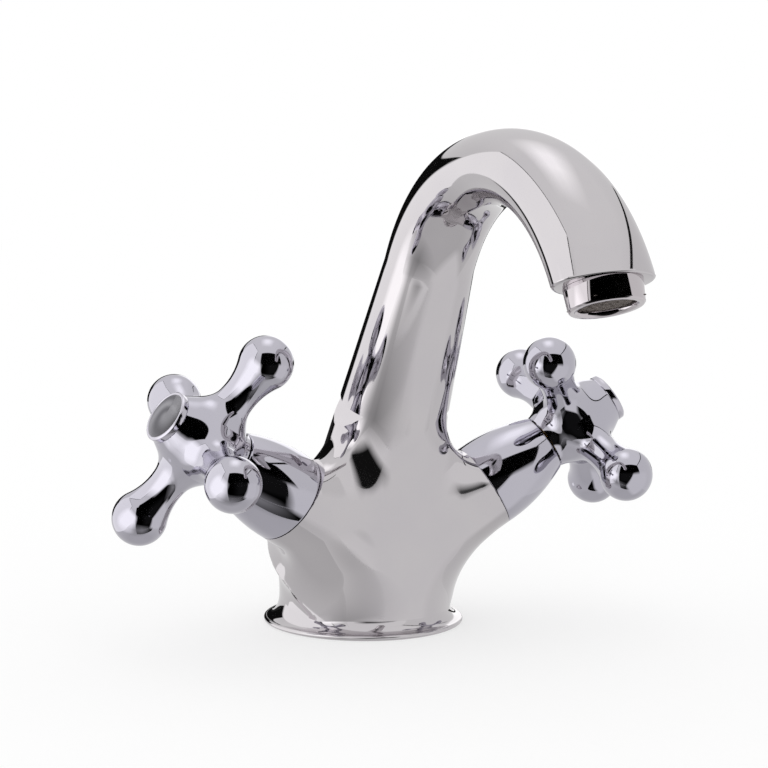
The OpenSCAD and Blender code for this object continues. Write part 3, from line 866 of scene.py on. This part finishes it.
def vary(material, socket, scale, low, high, detail=3):
    feed(material, socket, mottle(material, scale, low, high, detail))


def ripple(material, scale, height):
    """A bump of about this height in metres."""
    bump = add_node(material, "ShaderNodeBump", Strength=1, Distance=height)
    join(material, mottle(material, scale, 0, 1, detail=2), bump.inputs["Height"])
    feed(material, "Normal", bump.outputs["Normal"])
    return material


def tint(material, scale, first, second, detail=3):
    """Lets the colour wander between two near tones."""
    feed(material, "Base Color",
         between(material, mottle(material, scale, 0, 1, detail), first, second))
    return material


def wear(piece, material):
    piece.data.materials.clear()
    piece.data.materials.append(material)


# %% [markdown]
# ### Chrome
#
# Chromium is a little darker than silver. The casting's plate is tinted slightly
# warm, and the handles' plate slightly violet and darker. Both tints are painted light
# for the different light that each part is seen in. A mirror shows every ripple, so a
# faint, wide bump stands for hand polishing, and a finer pattern changes the roughness where the
# chrome was wiped.
# %% Chrome
def chrome(name, first, second):
    plate = finish(name, Metallic=1.0)
    tint(plate, 70, first, second)
    vary(plate, "Roughness", 160, 0.025, 0.06, detail=5)
    return ripple(plate, 55, 0.000012)


# Painted light: the casting's warm tint and the violet, darker tint of the handles and bonnets
# stand for the light that each part is seen in
casting_chrome_painted_warm = chrome("casting_chrome_painted_warm", (0.57, 0.545, 0.565), (0.585, 0.56, 0.575))
handle_chrome_painted_violet = chrome("handle_chrome_painted_violet", (0.525, 0.51, 0.575), (0.54, 0.525, 0.585))
collar_chrome = chrome("collar_chrome", (0.585, 0.545, 0.57), (0.60, 0.56, 0.58))
wear(body, casting_chrome_painted_warm)
wear(housing, collar_chrome)
for side in arms:
    wear(bpy.data.objects[side + "_cross_handle"], handle_chrome_painted_violet)
    wear(bpy.data.objects[side + "_bonnet_bell"], handle_chrome_painted_violet)
print("chrome on the casting, the collar, the crosses and the bonnets")

# %% [markdown]
# ### Satin
#
# The index caps are faced on a lathe and plated satin. The tool leaves rings too
# fine to see, which pull each reflection into a cone across the face. That is an
# anisotropic shader whose direction follows the UV map around the axis. Two darker
# and two lighter sectors are painted into the face's colour: a painted reflection in
# the shape of a bow tie. V is the distance from the axis, so it also marks off the
# polished rim, whose violet tint is painted light, as on the handles.
# %% Satin face with a polished rim
satin = finish("turned_satin_chrome", Metallic=1.0, Anisotropic=0.85)
around = add_node(satin, "ShaderNodeUVMap")
around.uv_map = "around"
on_face = add_node(satin, "ShaderNodeSeparateXYZ")
join(satin, around.outputs["UV"], on_face.inputs["Vector"])
turn, from_axis = on_face.outputs["X"], on_face.outputs["Y"]
rim_from, rim_to = 0.640, 0.652
feed(satin, "Roughness", spread(satin, from_axis, rim_from, rim_to, 0.30, 0.05))

grain = add_node(satin, "ShaderNodeTangent")
grain.direction_type, grain.uv_map = "UV_MAP", "around"
feed(satin, "Tangent", grain.outputs["Tangent"])

# Painted reflection: the face's colour swings between a darker and a lighter tone in two sectors
# each, a bow tie of reflected light
swing = maths(satin, "SINE", maths(satin, "MULTIPLY", turn, 4 * math.pi))
painted_bow_tie = between(
    satin, spread(satin, swing, -1, 1), (0.13, 0.127, 0.14), (0.27, 0.265, 0.285))
tone = add_node(satin, "ShaderNodeMix")
tone.data_type = "RGBA"
share_in, face_in, rim_in = (tone.inputs[i] for i in (0, 6, 7))  # those for colours
join(satin, spread(satin, from_axis, rim_from, rim_to), share_in)
join(satin, painted_bow_tie, face_in)
# The rim's violet tint is painted light, as on the handles
rim_in.default_value = (0.57, 0.55, 0.61, 1)
feed(satin, "Base Color", tone.outputs[2])
for side in arms:
    wear(bpy.data.objects[side + "_index_disc"], satin)
print("satin with", len(satin.node_tree.nodes), "nodes")

# %% [markdown]
# ### Inner parts
#
# The inner parts show when the mixer is taken apart, so each gets the finish that
# it has in a workshop: turned brass with fine rings and a brown tarnish, bright
# steel, moulded rubber and ground ceramic. The aerator's insert is white plastic
# seen through the wire screen. Here it is painted dark brown, partly for scale and
# partly as painted shade inside the outlet.
# %% Inner finishes
brass = finish("turned_brass", Metallic=1.0)
ripple(tint(brass, 90, (0.62, 0.42, 0.16), (0.80, 0.60, 0.27)), 700, 0.00001)
vary(brass, "Roughness", 240, 0.18, 0.36, detail=6)

steel = finish("bright_steel", Metallic=1.0)
ripple(tint(steel, 300, (0.50, 0.50, 0.51), (0.62, 0.62, 0.63)), 900, 0.000006)
vary(steel, "Roughness", 400, 0.16, 0.32)

rubber = finish("moulded_rubber")
ripple(tint(rubber, 250, (0.012, 0.012, 0.013), (0.03, 0.03, 0.031)), 1400, 0.00002)
vary(rubber, "Roughness", 300, 0.55, 0.8)

ceramic = finish("ground_ceramic", IOR=1.7)
ripple(tint(ceramic, 120, (0.80, 0.78, 0.72), (0.86, 0.85, 0.81)), 1500, 0.000003)
vary(ceramic, "Roughness", 500, 0.18, 0.3)

# Dark brown for scale, and as painted shade inside the outlet
plastic = finish("plastic_scale_and_painted_shade")
ripple(tint(plastic, 900, (0.035, 0.022, 0.016), (0.20, 0.15, 0.12), 6), 1200, 0.00002)
vary(plastic, "Roughness", 500, 0.4, 0.7)

wire = finish("screen_wire", Metallic=1.0)
ripple(tint(wire, 900, (0.12, 0.10, 0.09), (0.40, 0.36, 0.34), 5), 1500, 0.00001)
vary(wire, "Roughness", 900, 0.25, 0.5)

inner = {
    brass: ("valve_body", "spindle"),
    steel: ("spindle_clip", "handle_screw"),
    rubber: ("valve_oring", "seat_seal", "spindle_oring"),
    ceramic: ("fixed_disc", "moving_disc"),
}
for material, kinds in inner.items():
    for side in arms:
        for kind in kinds:
            wear(nodes[side + "_" + kind], material)
wear(nodes["base_gasket"], rubber)
wear(nodes["aerator_washer"], rubber)
wear(nodes["aerator_insert"], plastic)
wear(screen, wire)
print(len(bpy.data.materials), "materials")

# %% [markdown]
# ## The floor
#
# The mixer stands on a white sheet. The camera sees it a little brighter than it
# is lit, so that it runs into the white behind it, and it keeps a soft shadow.
# Reflections don't see it, because the studio below has its own tone.
# %% Floor
def show(owner, output, share, first, second):
    """Shows the first shader and, to a given share, the second."""
    mix = add_node(owner, "ShaderNodeMixShader")
    join(owner, share, mix.inputs["Fac"])
    join(owner, first, mix.inputs[1])
    join(owner, second, mix.inputs[2])
    join(owner, mix.outputs["Shader"], owner.node_tree.nodes[output].inputs["Surface"])


bpy.ops.object.select_all(action="DESELECT")
bpy.ops.mesh.primitive_plane_add(size=6)
floor = bpy.context.active_object
floor.name = "studio_floor"
floor.visible_glossy = False
paper = finish("floor_paper", Roughness=1.0, Specular_IOR_Level=0.0, Base_Color=(1, 1, 1, 1))
sight = add_node(paper, "ShaderNodeLightPath").outputs["Is Camera Ray"]
glow = add_node(paper, "ShaderNodeEmission", Strength=1.0)
show(paper, "Material Output", maths(paper, "MULTIPLY", sight, 0.55),
     paper.node_tree.nodes["Principled BSDF"].outputs["BSDF"], glow.outputs["Emission"])
wear(floor, paper)
print("floor", round(floor.dimensions.x, 1), "m wide")

# %% [markdown]
# ## The studio
#
# Chrome has hardly any colour of its own: what one sees is the studio. So the
# studio is built as a photographer builds it, from cards around the mixer: white
# ones where the metal is bright, black ones where it is dark. They are hidden
# from the camera and throw no light on the floor. A card with soft edges is a
# softbox: it fades out towards its rim.
#
# The casting and the handles of the photograph mirror different studios. So a
# card can also be made for the casting only. All other pieces see it as black.
# %% Cards
aim = Vector((0, -0.03, 0.07))
to_front = Vector((-0.42, -0.90, 0)).normalized()
to_right = Vector((0.906, -0.423, 0)).normalized()


def card(name, turn, rise, away, wide, tall, brightness,
         roll=0, soft=0.1, across=0, up=0, only_for=None):
    """A card around the mixer. Turn 0 is the camera's side, 90 the viewer's right.

    Wide and tall are half its sides. Across and up slide it in its own plane. Soft
    is the share of its sides over which it fades out, from 0 for none to 1 for all.
    """
    turn, rise = math.radians(turn), math.radians(rise)
    level = math.cos(turn) * to_front + math.sin(turn) * to_right
    out = level * math.cos(rise) + Vector((0, 0, math.sin(rise)))
    side = Vector((0, 0, 1)).cross(out).normalized()
    facing = Matrix((side, out.cross(side), out)).transposed().to_4x4()
    bpy.ops.object.select_all(action="DESELECT")
    bpy.ops.mesh.primitive_plane_add(size=2)
    piece = bpy.context.active_object
    piece.name = "studio_" + name
    piece.data.transform(
        Matrix.Translation(aim + out * away)
        @ facing @ Matrix.Rotation(math.radians(roll), 4, "Z")
        @ Matrix.Translation((across, up, 0)) @ Matrix.Diagonal((wide, tall, 1, 1)))

    cloth = finish("card_" + name)
    corner = add_node(cloth, "ShaderNodeSeparateXYZ")
    join(cloth, add_node(cloth, "ShaderNodeTexCoord").outputs["UV"], corner.inputs["Vector"])
    fades = [
        spread(cloth, maths(cloth, "PINGPONG", corner.outputs[axis], 0.5), 0.0, soft / 2)
        for axis in ("X", "Y")]
    clear = add_node(cloth, "ShaderNodeBsdfTransparent")
    lamp = add_node(cloth, "ShaderNodeEmission", Strength=brightness)
    show(cloth, "Material Output", maths(cloth, "MULTIPLY", *fades),
         clear.outputs["BSDF"], lamp.outputs["Emission"])
    wear(piece, cloth)
    for sees in ("camera", "diffuse", "transmission", "volume_scatter", "shadow"):
        setattr(piece, "visible_" + sees, False)
    if only_for:
        piece.light_linking.receiver_collection = only_for


# The casting's broad pale front, and a slightly darker one below it for the waist.
# The handles, the bonnets and the collar get their large black areas from them
castings = bpy.data.collections.new("castings")
castings.objects.link(body)
card("front_card", 8, 0, 0.2, 0.215, 0.215, 0.92,
     soft=0.05, across=0.074, up=0.015, only_for=castings)
card("front_card_low", 8, 0, 0.2, 0.215, 0.095, 0.76,
     soft=0.05, across=0.074, up=-0.285, only_for=castings)
# A small black one before the mixer, for the tear-shaped mark at the neck's root
card("teardrop_card", 0, 0, 0.121, 0.1, 0.056, 0.008, soft=0.45, across=0.055, up=-0.0345)
# Soft light from the left and from below right, and shade from below left
card("left_softbox", -56, -10, 0.157, 0.082, 0.095, 1.65, roll=-32, soft=0.55)
card("right_board", 66, -28.5, 0.14, 0.086, 0.09, 0.86, roll=-5, soft=0.35)
card("under_dark", -30, -45, 0.14, 0.117, 0.047, 0.32, roll=-26, soft=1)
# A bright wall on the left. Its black frame draws the thin lines along the arch
card("left_wall", -83.5, 0, 0.43, 0.375, 0.465, 1.22, soft=0.02, across=-0.06, up=0.155)
card("left_frame_top", -83.5, 0, 0.429, 0.385, 0.009, 0.01, soft=0.05, across=-0.06, up=0.625)
card("left_frame_front", -83.5, 0, 0.429, 0.009, 0.465, 0.01, soft=0.05, across=0.322, up=0.155)
# Black at the back, which outlines the column's left side, and a dark horizon
card("back_black", -155, 6, 1.5, 0.66, 0.34, 0.005, soft=0.06)
card("horizon_strip", 180, -4.5, 1.05, 0.9, 0.045, 0.02, soft=0.2)
# A grey wall on the right. Its black frame draws the line down the nose
card("right_wall", 90, 0, 0.46, 0.8, 0.37, 0.8, soft=0.02)
card("right_frame_top", 90, 0, 0.459, 0.8, 0.016, 0.01, soft=0.05, up=0.38)
# Light from behind, and from above for the shine on the crown
card("back_white", 172, 8, 1.1, 0.3, 0.36, 1.4, soft=0.3)
card("top_board", 180, 85, 0.68, 0.22, 0.35, 1.5, soft=0.8, up=-0.12)

# %% [markdown]
# The world fills the gaps between the cards. The camera and the floor see plain
# white. A mirror sees a room whose walls grow lighter from the floor upwards.
# %% World
world = bpy.data.worlds.new("studio_room")
bpy.context.scene.world = world
world.use_nodes = True
room = world.node_tree.nodes["Background"]
plain = add_node(world, "ShaderNodeBackground", Strength=1.0, Color=(1, 1, 1, 1))
height = add_node(world, "ShaderNodeSeparateXYZ")
join(world, add_node(world, "ShaderNodeTexCoord").outputs["Generated"], height.inputs["Vector"])
rise = maths(world, "ARCSINE", height.outputs["Z"])
walls = add_node(world, "ShaderNodeValToRGB")
join(world, spread(world, rise, -math.pi / 2, math.pi / 2), walls.inputs["Fac"])
room_tones = [
    (-90, 0.64), (-60, 0.62), (-40, 0.70), (-20, 0.77), (0, 0.80), (25, 0.82), (50, 0.92),
    (70, 0.93), (90, 0.95)]
stops = walls.color_ramp.elements
while len(stops) < len(room_tones):
    stops.new(0.5)
for stop, (angle, tone) in zip(stops, room_tones):
    stop.position = (angle + 90) / 180
    stop.color = (tone, tone, tone, 1)
join(world, walls.outputs["Color"], room.inputs["Color"])
mirrored = add_node(world, "ShaderNodeLightPath").outputs["Is Glossy Ray"]
show(world, "World Output", mirrored, plain.outputs["Background"], room.outputs["Background"])
bpy.context.scene.view_settings.view_transform = "Standard"
print("world with", len(room_tones), "tones")
